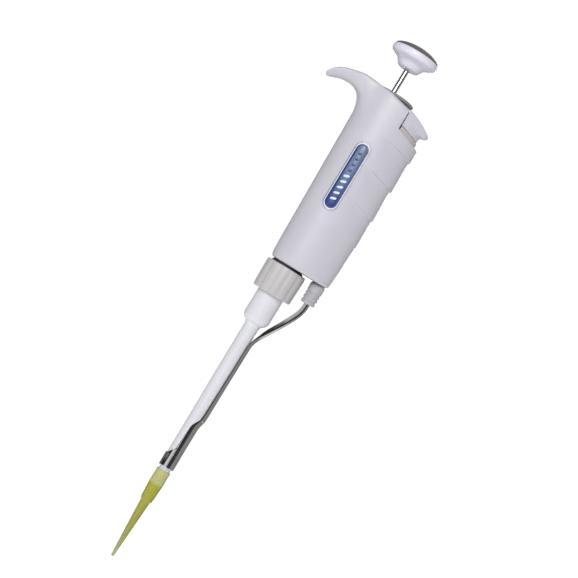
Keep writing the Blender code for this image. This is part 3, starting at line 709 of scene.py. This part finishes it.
def make_badge():
    """From the outside in: steel rim, pale line, blue line, printed field and motif."""
    badge_ring("badge_rim_band", MATS["foil"], "badge_metal",
               (8.2, 37.4), (7.1, 36.3), 0.35, 0.5, "badge_rim")
    badge_ring("badge_pale_band", MATS["pale_line"], "badge_print", (7.08, 36.28), (6.22, 35.0), 0.30, 0.42)
    badge_ring("badge_blue_band", MATS["outline"], "badge_print", (6.2, 34.98), (4.6, 33.28), 0.28, 0.38)
    badge_field((4.58, 33.26), 0.16)
    badge_motif()


def make_window():
    """Clear pane in the back of the handle, with a soft edge."""
    def row(smaller, y):
        return [(x, y, z + WINDOW_Z) for x, z in stadium(WINDOW_SIZE[0] - smaller, WINDOW_SIZE[1] - smaller)]
    lens = loft("window_pane", [row(0.6, 12.0), row(0.6, 12.9), row(1.0, 13.15), row(2.0, 13.25)])
    finish_piece(add("window_pane", lens, MATS["lens"]), "handle", "window_clear", "window_lens")


def make_numbers():
    """Numbers 0 to 9 round each drum, rising with the dial's turn; at rest they read 050."""
    digits = (("units_drum", "dial", 0, 0), ("tens_drum", "tens", 1, 5), ("hundreds_drum", "hundreds", 2, 0))
    gap, clear = 0.3, 0.03       # between two drums, and between ink and drum
    height, relief = 4.6, 0.04
    for node, body, row, shown in digits:
        points, faces = [], []
        middle = DRUM_Z + row * DRUM_H + (DRUM_H - gap) / 2
        for digit in range(10):
            text = bpy.data.curves.new("digit", "FONT")
            text.body = str(digit)
            text.size = height
            text.align_x, text.align_y = "CENTER", "CENTER"
            text.extrude = relief
            holder = bpy.data.objects.new("digit", text)
            into_scene(holder)
            flat = evaluated_mesh(holder)
            start = len(points)
            turn = math.pi / 2 - (digit - shown) * math.pi / 5
            for vert in flat.vertices:
                angle = turn + vert.co.x / COUNTER_R
                reach = COUNTER_R + clear + vert.co.z
                points.append((reach * math.cos(angle), reach * math.sin(angle), middle + vert.co.y))
            faces += [[start + v for v in face.vertices] for face in flat.polygons]
            bpy.data.objects.remove(holder)
        mesh = mesh_of(f"{node}_numbers", points, faces)
        face_outwards(mesh)
        numbers = add(f"{node}_numbers", mesh, MATS["ink"])
        finish_piece(numbers, body, "drum_white")


# ---------------------------------------------------------------- plunger and dial

def make_knob():
    """Thumb knob with a soft underside, and the domed grey insert in its top."""
    outline = [(0, 120.2), (9.0, 120.2), (9.0, 120.62), (11.3, 120.75)]
    outline += curve_through([(11.62, 120.7), (12.1, 120.25), (12.3, 119.3), (12.2, 118.3), (11.75, 117.5),
                              (11.0, 116.9), (9.8, 116.3), (8.3, 115.6), (7.3, 114.8), (6.6, 113.8),
                              (6.0, 112.9), (5.4, 112.2), (4.7, 111.85)], 5)
    outline += [(4.3, 111.8), (1.9, 111.8), (1.7, 112.0), (1.7, 117.3), (0, 117.3)]
    # The knob's material is brightened as painted light for its lit underside.
    turned_piece("knob_body", outline, 128, "knob", "plunger", "knob_plastic", "knob")
    cap = [(0, 124.02)]
    cap += curve_through([(2.2, 124.02), (4.0, 123.98), (6.7, 123.55), (9.2, 122.75), (10.8, 121.95),
                          (11.55, 121.35), (11.75, 121.0)], 6)
    cap += [(11.5, 120.85), (8.7, 120.9), (8.7, 120.5), (0, 120.5)]
    turned_piece("knob_insert", cap, 128, "cap", "plunger", "grey_cap", "knob_cap")


def make_rod():
    """Polished plunger rod from inside the knob down into the handle's foot."""
    radius, top, bottom = 1.38, 117.0, -1.2
    outline = rounded([(0, top), (radius, top), (radius, bottom), (0, bottom)], 0.3)
    turned_piece("plunger_shaft", outline, 64, "rod", "plunger", "polished_steel", "plunger_rod", sharp=40)


def make_dial():
    """Dial with a finely knurled rim, turned on a hub in the handle's top."""
    knurls, half_depth = 60, 0.16
    outline = rounded([(2.0, 95.0), (2.0, 97.7, 0.2), (4.0, 97.7), (4.3, 97.45), (9.6, 97.45), (9.9, 97.75),
                       (11.5, 97.75, 0.3), (DIAL_R, 97.3, 0.25), (DIAL_R, 96.55, 0.25), (11.7, DIAL_Z, 0.2),
                       (6.6, DIAL_Z), (6.6, 91.4), (5.4, 91.4), (5.4, 95.0), (2.0, 95.0)], 0.12, 3)[:-1]
    outline = outline[::-1]

    def knurl(turn, r, z):
        if r < 11.6 or not DIAL_Z + 0.1 < z < 97.65:
            return r
        return r - half_depth * (1 - math.cos(knurls * turn))

    turned_piece("dial_wheel", outline, knurls * 8, "dial", "dial", "dial_grey", "volume_dial", knurl)


# ---------------------------------------------------------------- lower part

def make_nut():
    """Coupling nut with shallow flutes that die out towards its top."""
    flutes, depth = 12, 0.42
    outline = rounded([(8.95, -7.0), (8.95, NUT_TOP, 0.1), (10.35, NUT_TOP, 0.5), (10.62, -2.4, 0.6),
                       (10.3, -15.4, 0.5), (9.9, -16.2, 0.4), (7.25, -16.2, 0.2), (7.25, -13.1),
                       (8.95, -13.1), (8.95, -7.0)], 0.2)[:-1]

    def flute(turn, r, z):
        if r < 9.5:
            return r
        wave = 0.5 * (1 - math.cos(flutes * turn))
        return r - depth * wave ** 2 * smooth_step((-z - 1.2) / 1.4)

    turned_piece("nut_body", outline, 288, "nut", "coupling_nut", "nut_grey", "coupling_nut", flute)


def make_barrel():
    """Collar, shoulder and slender tube with its stepped bore, and the nozzle cone below."""
    outer = rounded([(5.0, -7.5), (5.5, -7.5, 0.1), (5.5, -10.8, 0.1), (8.4, -10.8, 0.1), (8.4, -12.7, 0.1),
                     (6.95, -12.8, 0.1), (6.92, -29.4, 1.0), (6.5, -31.0, 0.9), (5.2, -32.3, 0.9),
                     (4.15, -32.9, 0.5), (TUBE_R, -34.2, 0.6), (TUBE_R - 0.05, -60.0),
                     (TUBE_R - 0.3, -90.0, 0.2), (TUBE_R - 0.35, -112.6, 0.2), (3.3, -113.2, 0.2),
                     (2.2, -113.2, 0.1), (2.2, -78.0, 0.1), (2.9, -76.0, 0.1), (2.9, -37.0, 0.1),
                     (5.2, -30.4, 0.1), (5.0, -7.5)], 0.15)[:-1]
    turned_piece("barrel_body", outer, 112, "barrel", "handle", "barrel_plastic", "barrel")
    cone = rounded([(1.0, -116.0), (1.0, -113.5, 0.1), (3.0, -113.5, 0.1), (3.0, -116.2, 0.3),
                    (2.9, -117.0, 0.3), (2.45, NOZZLE_END, 0.25), (1.0, NOZZLE_END, 0.1),
                    (1.0, -116.0)], 0.1)[:-1]
    turned_piece("nozzle_cone", cone, 80, "barrel", "handle", "barrel_plastic", "nozzle")


# ---------------------------------------------------------------- ejector

BUTTON_LEFT = 11.5
BUTTON_TOP = ((BUTTON_LEFT, 95.1), (17.3, 93.4), (22.1, 91.4), (24.6, 89.9), (27.0, 88.3))
BUTTON_COLUMNS = (0.0, 0.08, 0.5, 1.0)          # the cage's columns, from the flat left to the curved right
LIP_REACH = (0.0, 0.0, 0.2, 3.6, 4.6, 3.9)      # how far the thumb lip stands out at each level
LIP_LEVELS = (86.9, 86.3)                       # heights of the two side rows under the lip
SIDE_LEVELS = (0.4, 0.65)                       # and their shares of the side's height elsewhere
LIP_HALF, BUTTON_GAP = 0.8, 0.3                 # the lip's share of the width, and the gap to the well
BUTTON_TURN = math.radians(48)                  # how far round the curved right side reaches
BUTTON_CROWN = 0.25
BUTTON_FOOT, SLIDER_TOP = 86.1, 86.0
FOOT_X = 11.7                                   # where both are measured


def foot_slant(height, x):
    """Height at x of a line that falls like the step that the button sits on."""
    return height + NOTCH_SLOPE * (x - FOOT_X)


def button_plan(t, v):
    """The button's plan: t runs from its flat left to its curved right and v from side to side."""
    a, b = WELL_A - BUTTON_GAP, WELL_B - BUTTON_GAP
    half = b * math.sqrt(1 - ((BUTTON_LEFT - WIDEST_X) / a) ** 2)
    angle = BUTTON_TURN * v
    return mix(BUTTON_LEFT, WIDEST_X + a * math.cos(angle), t), mix(half * v, b * math.sin(angle), t)


def button_point(i, j, k):
    """Cage corner of the ejector button: column i, j across it and level k from foot to top."""
    v = (j - 2) / 2
    x, y = button_plan(BUTTON_COLUMNS[i], v)
    lip = max(0.0, 1 - (v / LIP_HALF) ** 2) if i == 3 else 0.0
    x += LIP_REACH[k] * lip
    foot = foot_slant(BUTTON_FOOT, x)
    top = along(BUTTON_TOP, x) + BUTTON_CROWN * (1 - v * v)
    if k in (2, 3):
        z = mix(mix(foot, top, SIDE_LEVELS[k - 2]), LIP_LEVELS[k - 2], lip)
    else:
        z = {0: foot, 1: foot + 0.5, 4: top - 0.8, 5: top}[k]
    if k == 5:
        y *= 0.94
    return x, y, z


def make_ejector_top():
    """The thumb button, and the slider under it with the bore that takes the ejector's rod."""
    cells = {(i, j, k) for i in range(3) for j in range(4) for k in range(5)}
    button = add("button_body", block_cage("button_body", cells, button_point), MATS["button"])
    subdivide(button, 4)
    reshade(button.data, 50)
    finish_piece(button, "ejector", "knob_plastic", "ejector_button")
    plan, inner = well_outline(0.45, 11.9), well_outline(0.55, 12.0)
    rows = [[(x, y, foot_slant(SLIDER_TOP, x)) for x, y in inner],
            [(x, y, foot_slant(SLIDER_TOP - 0.1, x)) for x, y in plan],
            [(x, y, 75.2) for x, y in plan], [(x, y, 75.0) for x, y in inner]]
    # The slider takes the darker material, painted shade for the recess under the button.
    slider = add("slider_body", loft("slider_body", rows), MATS["slider"])
    rod_bore, rod_end = 1.9, 79.3
    bore = cylinder(rod_bore, 70.0, rod_end, 48)
    bore.transform(Matrix.Translation((EJECT_X * MM, 0, 0)))
    cut(slider, bore)
    reshade(slider.data, 35)
    finish_piece(slider, "ejector", "slider_beige", "ejector_slider")


def make_boot():
    """Ribbed connector between the ejector's rod and the arm, with three grooves round it."""
    outline = rounded([(0, 0.4), (3.3, 0.4, 0.2), (3.45, -0.3, 0.3), (3.9, -0.9, 0.3), (3.85, -4.5, 0.3),
                       (3.42, -4.85, 0.25), (3.42, -5.2, 0.25), (3.85, -5.6, 0.35), (3.8, -6.3, 0.35),
                       (3.36, -6.7, 0.25), (3.36, -7.05, 0.25), (3.8, -7.5, 0.4), (3.75, -8.5, 0.4),
                       (3.28, -8.95, 0.25), (3.28, -9.3, 0.25), (3.72, -9.7, 0.35), (3.62, -10.9, 0.35),
                       (3.3, -11.2, 0.2), (2.75, -11.2, 0.1), (2.75, -8.9, 0.1), (0, -8.9)], 0.2)
    turned_piece("boot_body", outline, 96, "boot", "ejector", "boot_grey", "ejector_boot",
                 at=(EJECT_X, 0, 0), sharp=60)


# The arm's stations: x, z, radius of the bend across it, half angle of the bend, and flat edge beyond it.
ARM = ((19.15, -9.3, 1.5, 90, 1.45), (19.15, -11.0, 1.5, 90, 1.45), (18.95, -14.4, 1.5, 90, 1.45),
       (18.1, -18.0, 1.5, 90, 1.45), (16.0, -22.6, 1.5, 90, 1.45), (13.1, -28.0, 1.6, 88, 1.3),
       (9.75, -33.6, 1.8, 84, 1.0), (7.0, -38.4, 2.3, 70, 0.3), (5.6, -42.0, 2.8, 64, 0.1),
       (5.3, -46.0, 2.9, 67, 0.1), (5.15, -68.0, 2.9, 70, 0.1), (5.1, -84.5, 3.1, 73, 0.1),
       (4.7, -87.4, 3.4, 71, 0.1), (4.1, -90.0, 3.76, 80, 0.1), (3.94, -92.4, SLEEVE_R, 88, 0.1),
       (3.94, -103.4, SLEEVE_R, 96, 0.1), (3.94, -105.6, SLEEVE_R, 116, 0.1),
       (3.94, -107.2, SLEEVE_R, 138, 0.1), (3.94, -108.4, SLEEVE_R, 150, 0.1))
ARM_SPAN = 6                     # sections between two stations
SLEEVE_STATIONS = 5


def arm_section(stations, n, points=33):
    """A bent strip of sheet across the arm at one station, bowed towards +X."""
    x, z, radius, half_angle, flat = stations[n]
    before, after = stations[max(n - 1, 0)], stations[min(n + 1, len(stations) - 1)]
    down = Vector((after[0] - before[0], 0, after[1] - before[1])).normalized()
    if n >= len(stations) - (SLEEVE_STATIONS - 1) * ARM_SPAN - 1 or n == 0:
        down = Vector((0, 0, -1))
    out = Vector((-down.z, 0, down.x))
    centre = Vector((x, 0, z)) - out * (radius + SLEEVE_T / 2)

    def at(r, degrees, reach=0.0):
        turn = math.radians(degrees)
        tangent = -out * math.sin(abs(turn)) + Vector((0, math.copysign(math.cos(turn), turn), 0))
        return centre + out * (r * math.cos(turn)) + Vector((0, r * math.sin(turn), 0)) + tangent * reach

    loop = []
    for r, order in ((radius + SLEEVE_T / 2, 1), (radius, 0), (radius - SLEEVE_T / 2, -1)):
        if order == 0:
            loop.append(at(r, half_angle, flat + SLEEVE_T / 3))
            continue
        side = [at(r, -half_angle, flat)]
        side += [at(r, mix(-half_angle, half_angle, m / (points - 1))) for m in range(points)]
        side.append(at(r, half_angle, flat))
        loop += side[::order]
    loop.append(at(radius, -half_angle, flat + SLEEVE_T / 3))
    return loop


def make_arm():
    """One sheet from the boot to the tube, opening into the sleeve, with the closed ring at its end."""
    stations = curve_through(ARM, ARM_SPAN)
    mesh = loft("arm_sheet", [arm_section(stations, n) for n in range(len(stations))])
    arm = add("arm_sheet", mesh, MATS["polished"], sharp=50)
    top, end, half = -107.7, -114.9, 0.2
    ring = rounded([(SLEEVE_R, top), (SLEEVE_R + half, top, 0.1), (SLEEVE_R + half, end + 0.4, 0.25),
                    (SLEEVE_R + 0.05, end, 0.2), (SLEEVE_R - half, end, 0.1), (SLEEVE_R - half, top, 0.1),
                    (SLEEVE_R, top)], 0.1)[:-1]
    cut(arm, turned_mesh("tool", ring, 96), "UNION", "MANIFOLD")
    reshade(arm.data, 50)
    finish_piece(arm, "ejector", "polished_steel", "ejector_arm")


# ---------------------------------------------------------------- tip

def make_tip():
    """Disposable tip: a ribbed collar over the nozzle and a thin wall that runs down to the point."""
    ribs, rib_height, rib_top, rib_end = 8, 0.22, -117.6, -133.2
    outer = [(3.75, TIP_TOP, 0.12), (3.75, -117.4, 0.1), (3.62, rib_top, 0.1), (3.42, -124.0),
             (3.1, -132.4, 0.2), (3.02, -133.5, 0.25), (2.45, -134.2, 0.25), (2.2, -139.0), (1.35, -154.0),
             (0.72, TIP_END + 0.3, 0.1), (0.62, TIP_END, 0.05), (0.32, TIP_END, 0.05), (0.85, -154.0),
             (1.7, -139.0), (2.0, -133.0), (2.66, NOZZLE_END), (3.12, -117.5), (3.3, TIP_TOP, 0.1)]
    outline = rounded([(3.5, TIP_TOP)] + outer + [(3.5, TIP_TOP)], 0.3)[:-1]
    inside = ((-133.5, 2.8), (-117.0, 3.35))

    def collar_ribs(turn, r, z):
        if not rib_end <= z <= rib_top or r < along(inside, z):
            return r
        ridge = max(0.0, math.cos(ribs * turn)) ** 6
        fade = smooth_step((rib_top - z) / 1.2) * smooth_step((z - rib_end) / 2.5)
        return r + rib_height * ridge * fade

    turned_piece("tip_body", outline, 192, "tip", "tip", "tip_yellow", "tip", collar_ribs)


# ---------------------------------------------------------------- carried-over CAD nodes

CARRIED = {
    "handle_base": "inner", "dial_clip": "brushed", "drive_sleeve": "brass", "units_drum": "drum",
    "tens_drum": "drum", "hundreds_drum": "drum", "volume_screw": "brass", "volume_nut": "brass",
    "counter_frame": "inner", "stop_housing": "inner", "blowout_spring": "brushed", "stop_washer": "brushed",
    "plunger_collar": "brass", "piston_head": "seal", "piston": "polished", "piston_spring": "brushed",
    "seal_retainer": "brushed", "piston_seal": "seal", "barrel_o_ring": "rubber", "ejector_rod": "brushed",
    "ejector_clip": "brushed", "ejector_guide": "inner", "ejector_spring": "brushed",
}


def dress_carried():
    """Give the inner CAD nodes, which stay as they are in shape, their finishes."""
    for node, key in CARRIED.items():
        obj = NODES[node]
        obj.data.materials.clear()
        obj.data.materials.append(MATS[key])


# ---------------------------------------------------------------- studio

CAMERA_LEAN = 31.3               # degrees of roll
CAMERA_AT = (6.2, -750.0, -9.4)
CAMERA_LENS, CAMERA_SENSOR = 95.7, 36.0
FLOOR_R, FLOOR_DROP = 0.78, 0.25  # in metres
SOFT_STRENGTH, SEEN_STRENGTH = 0.37, 1.05    # the world as a light, and as the camera sees it
LIGHTS = (                       # name, place in metres, size, power, colour
    ("key", (-0.10, -0.94, 0.34), 0.50, 5.3, (1.0, 0.995, 0.985)),
    ("left_fill", (-0.90, -0.25, 0.10), 0.6, 0.25, (0.80, 0.88, 1.0)),
    ("back_fill", (0.15, 0.95, 0.30), 0.60, 2.6, (1.0, 1.0, 1.0)),
)


def make_camera():
    """The photograph's view: square to the side, 0.75 m away, rolled so that the pipette leans right."""
    lean = math.radians(CAMERA_LEAN)
    right = Vector((math.cos(lean), 0, math.sin(lean)))
    up = Vector((-math.sin(lean), 0, math.cos(lean)))
    back = Vector((0, -1, 0))
    data = bpy.data.cameras.new("camera")
    data.sensor_width = CAMERA_SENSOR
    data.lens = CAMERA_LENS
    camera = bpy.data.objects.new("camera", data)
    turn = Matrix((right, up, back)).transposed().to_4x4()
    camera.matrix_world = Matrix.Translation(AXIS + Vector(CAMERA_AT) * MM) @ turn
    into_scene(camera)
    bpy.context.scene.camera = camera


def area_light(name, at, size, power, colour):
    """A square soft light that faces the foot of the plunger's axis."""
    data = bpy.data.lights.new(name, "AREA")
    data.shape, data.size, data.energy, data.color = "SQUARE", size, power, colour
    light = bpy.data.objects.new(name, data)
    light.location = AXIS + Vector(at)
    light.rotation_euler = (AXIS - light.location).to_track_quat("-Z", "Y").to_euler()
    into_scene(light)


def make_world():
    """White for the eye, near white as soft light, and light and dark cards that only reflections see."""
    world = bpy.data.worlds.new("studio")
    bpy.context.scene.world = world
    world.use_nodes = True
    tree = world.node_tree
    tree.nodes.clear()
    node, link = tree.nodes.new, tree.links.new
    out, path = node("ShaderNodeOutputWorld"), node("ShaderNodeLightPath")
    coords, split, angle = node("ShaderNodeTexCoord"), node("ShaderNodeSeparateXYZ"), node("ShaderNodeMath")
    angle.operation = "ARCTAN2"
    link(coords.outputs["Generated"], split.inputs[0])
    link(split.outputs["X"], angle.inputs[0])
    link(split.outputs["Y"], angle.inputs[1])
    span = node("ShaderNodeMapRange")
    span.inputs["From Min"].default_value, span.inputs["From Max"].default_value = -math.pi, math.pi
    link(angle.outputs[0], span.inputs["Value"])
    ramp = node("ShaderNodeValToRGB")
    # Once round the pipette: the camera's side is at 0 and 1, its left at 0.25, the back at 0.5.
    cards = ((0.0, 0.12), (0.012, 0.12), (0.02, 0.83), (0.10, 0.83), (0.12, 0.02), (0.267, 0.02),
             (0.28, 0.15), (0.44, 0.19), (0.5, 0.25), (0.78, 0.30), (0.84, 0.30), (0.86, 0.03), (0.97, 0.03),
             (0.985, 0.12), (1.0, 0.12))
    elements = ramp.color_ramp.elements
    ends = {cards[0][0]: elements[0], cards[-1][0]: elements[1]}
    for position, value in cards:
        element = ends[position] if position in ends else elements.new(position)
        element.color = (value, value, value * 1.01, 1.0)
    link(span.outputs[0], ramp.inputs[0])
    soft, seen, glossy = (node("ShaderNodeBackground") for _ in range(3))
    for background, colour, strength in ((soft, (0.97, 0.98, 1.0, 1.0), SOFT_STRENGTH),
                                         (seen, (1.0, 1.0, 1.0, 1.0), SEEN_STRENGTH)):
        background.inputs["Color"].default_value = colour
        background.inputs["Strength"].default_value = strength
    link(ramp.outputs[0], glossy.inputs["Color"])
    first, second = node("ShaderNodeMixShader"), node("ShaderNodeMixShader")
    link(path.outputs["Is Glossy Ray"], first.inputs[0])
    link(soft.outputs[0], first.inputs[1])
    link(glossy.outputs[0], first.inputs[2])
    link(path.outputs["Is Camera Ray"], second.inputs[0])
    link(first.outputs[0], second.inputs[1])
    link(seen.outputs[0], second.inputs[2])
    link(second.outputs[0], out.inputs["Surface"])


def make_floor():
    """A plain pale disc well under the tip, small enough to stay out of a level view."""
    sides = 96
    turns = [2 * math.pi * n / sides for n in range(sides)]
    low = CAD_BOX[0][2] - FLOOR_DROP
    mesh = bpy.data.meshes.new("studio_floor")
    mesh.from_pydata([(FLOOR_R * math.cos(t), FLOOR_R * math.sin(t), low) for t in turns],
                     [], [tuple(range(sides))])
    floor = bpy.data.objects.new("studio_floor", mesh)
    into_scene(floor)
    n = Nodes("floor_white")
    n.into("Roughness", n.spread(n.noise(3.0, 2.0), 0.85, 0.95))
    n.set(Base_Color=(0.92, 0.92, 0.92, 1.0), Emission_Color=(1.0, 1.0, 1.0, 1.0), Emission_Strength=0.45)
    floor.data.materials.append(n.mat)


def make_studio():
    make_camera()
    make_world()
    make_floor()
    for light in LIGHTS:
        area_light(*light)
    bpy.context.scene.view_settings.view_transform = "Standard"


# ---------------------------------------------------------------- build

make_studio()
make_materials()
make_handle()
make_badge()
make_window()
make_numbers()
make_knob()
make_rod()
make_dial()
make_nut()
make_barrel()
make_ejector_top()
make_boot()
make_arm()
make_tip()
dress_carried()
